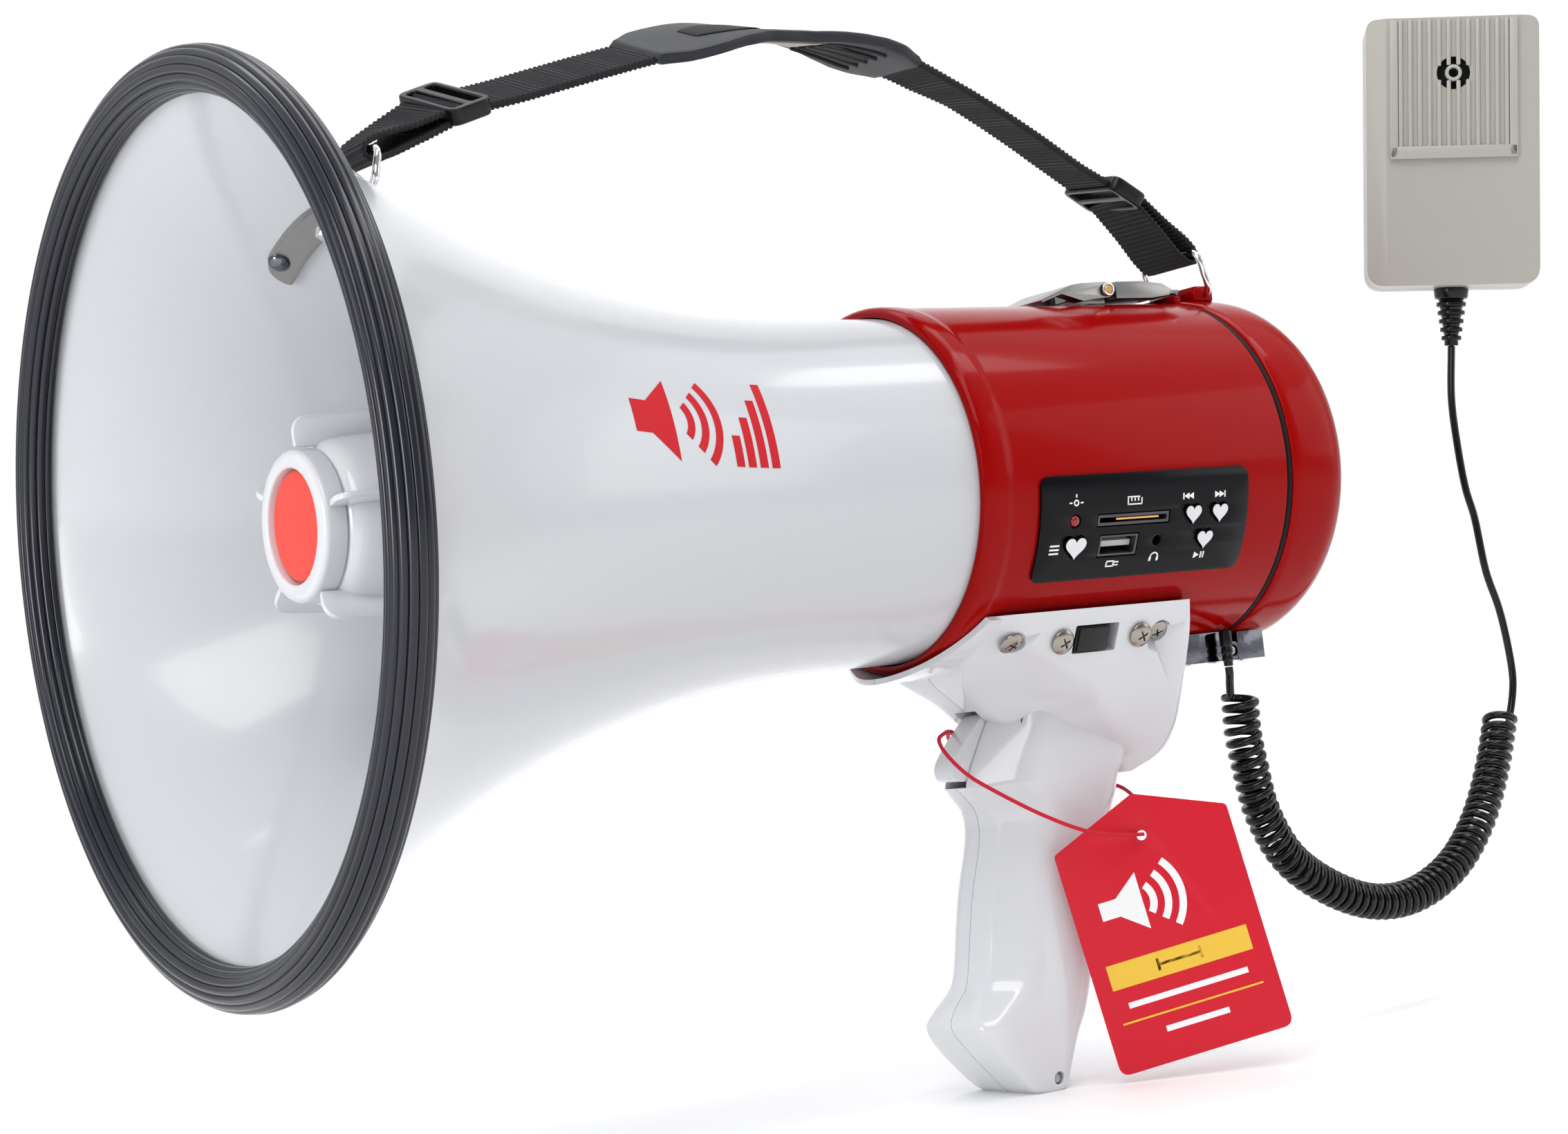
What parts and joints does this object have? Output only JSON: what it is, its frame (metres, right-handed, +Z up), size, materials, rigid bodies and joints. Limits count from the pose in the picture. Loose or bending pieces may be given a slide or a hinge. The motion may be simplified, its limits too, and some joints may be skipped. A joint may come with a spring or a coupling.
{
  "type": "handheld megaphone",
  "caption": "Handheld megaphone with a rubber-rimmed bell, a red body with a control panel, a pistol grip, a shoulder strap and a microphone on a curly cord.",
  "frame": {"origin": "middle of the flat base of the pistol grip", "axes": "+Z up, -X the way the bell faces, -Y the side of the control panel and the switch"},
  "size_m": [0.4771, 0.2296, 0.3114],
  "materials": {
    "white_plastic": "smooth glossy moulded plastic",
    "rubber": "satin black rubber",
    "chrome": "bright nickel or chrome plate",
    "steel": "plain steel",
    "brass": "plain brass",
    "red_plastic": "deep red high gloss",
    "bright_red": "light red, semi-gloss",
    "black_plastic": "black, semi-matte",
    "webbing": "black ribbed woven webbing",
    "mic_grey": "light warm grey moulded plastic",
    "board_green": "green circuit board",
    "cell_blue": "blue shrink sleeve",
    "tag_red": "coated red card"
  },
  "bodies": {
    "megaphone": {"battery_pack": "cell_blue", "body_shell": "red_plastic", "bumper_ring": "rubber", "card_socket": "steel", "circuit_board": "board_green", "control_panel": "black_plastic", "cord_gland": "rubber", "cord_lead_lower": "black_plastic", "cord_lead_upper": "black_plastic", "curly_cord": "black_plastic", "driver_diaphragm": "black_plastic", "driver_magnet_housing": "steel", "gasket_ring": "rubber", "handle_far": "white_plastic", "handle_near": "white_plastic", "handle_screw_1": "chrome", "handle_screw_2": "chrome", "hinge_leaf_body": "chrome", "hinge_pin": "steel", "horn_bell": "white_plastic", "lanyard_pin": "steel", "latch_base": "steel", "latch_pin": "brass", "led_lens": "bright_red", "mic_back": "mic_grey", "mic_capsule": "black_plastic", "mic_front": "mic_grey", "mic_grille": "mic_grey", "mic_strain_relief": "rubber", "reflector_cup": "white_plastic", "reflector_disc": "bright_red", "slide_switch_body": "black_plastic", "strap_bail_front": "chrome", "strap_bracket_inner": "chrome", "strap_bracket_outer": "chrome", "strap_front_loop": "webbing", "strap_pad": "black_plastic", "strap_slider_front": "black_plastic", "strap_slider_rear": "black_plastic", "strap_webbing_front": "webbing", "strap_webbing_rear": "webbing", "tag_string": "tag_red", "throat_tube": "white_plastic", "trigger_pin": "steel", "trigger_switch": "black_plastic", "usb_socket": "steel"},
    "rear_cap": {"rear_cap": "red_plastic", "hinge_leaf_cap": "chrome", "strap_bail_rear": "chrome", "strap_rear_loop": "webbing"},
    "latch_lever": {"latch_lever": "chrome"},
    "latch_hook": {"latch_hook": "chrome"},
    "trigger": {"trigger": "white_plastic"},
    "slide_switch_knob": {"slide_switch_knob": "black_plastic"},
    "mode_button": {"mode_button": "chrome"},
    "previous_button": {"previous_button": "chrome"},
    "next_button": {"next_button": "chrome"},
    "play_button": {"play_button": "chrome"},
    "mic_button": {"mic_button": "mic_grey"},
    "hang_tag": {"hang_tag": "tag_red"}
  },
  "joints": [
    {"name": "rear_cap_hinge", "type": "hinge", "parent": "megaphone", "child": "rear_cap", "pos_m": [0.0782, 0, 0.1148], "axis": [0, 1, 0], "range_deg": [0, 15]},
    {"name": "latch_lever_hinge", "type": "hinge", "parent": "megaphone", "child": "latch_lever", "pos_m": [0.052, 0, 0.2216], "axis": [0, 1, 0], "range_deg": [0, 68]},
    {"name": "latch_hook_hinge", "type": "hinge", "parent": "megaphone", "child": "latch_hook", "pos_m": [0.052, 0, 0.2216], "axis": [0, -1, 0], "range_deg": [0, 17]},
    {"name": "trigger_hinge", "type": "hinge", "parent": "megaphone", "child": "trigger", "pos_m": [0.0035, 0, 0.101], "axis": [0, -1, 0], "range_deg": [0, 5], "stiffness_Nm_per_rad": 0.25, "springref_deg": -5.73},
    {"name": "slide_switch_travel", "type": "slide", "parent": "megaphone", "child": "slide_switch_knob", "axis": [1, 0, 0], "range_m": [0, 0.0025]},
    {"name": "mode_button_press", "type": "slide", "parent": "megaphone", "child": "mode_button", "axis": [0, 0.9026, 0.4305], "range_m": [0, 0.0008], "stiffness_N_per_m": 500, "springref_m": -0.001},
    {"name": "previous_button_press", "type": "slide", "parent": "megaphone", "child": "previous_button", "axis": [0, 0.9542, 0.299], "range_m": [0, 0.0008], "stiffness_N_per_m": 500, "springref_m": -0.001},
    {"name": "next_button_press", "type": "slide", "parent": "megaphone", "child": "next_button", "axis": [0, 0.9542, 0.299], "range_m": [0, 0.0008], "stiffness_N_per_m": 500, "springref_m": -0.001},
    {"name": "play_button_press", "type": "slide", "parent": "megaphone", "child": "play_button", "axis": [0, 0.9026, 0.4305], "range_m": [0, 0.0008], "stiffness_N_per_m": 500, "springref_m": -0.001},
    {"name": "mic_button_press", "type": "slide", "parent": "megaphone", "child": "mic_button", "axis": [-0.6683, -0.7422, -0.0506], "range_m": [0, 0.0012], "stiffness_N_per_m": 400, "springref_m": -0.001},
    {"name": "tag_swing", "type": "hinge", "parent": "megaphone", "child": "hang_tag", "pos_m": [0.0227, -0.034, 0.067], "axis": [-0.5556, -0.8299, -0.0506], "range_deg": [-10, 15]}
  ],
  "couplings": [
    {"joint": "latch_hook_hinge", "follows": "latch_lever_hinge", "ratio": 0.25}
  ]
}
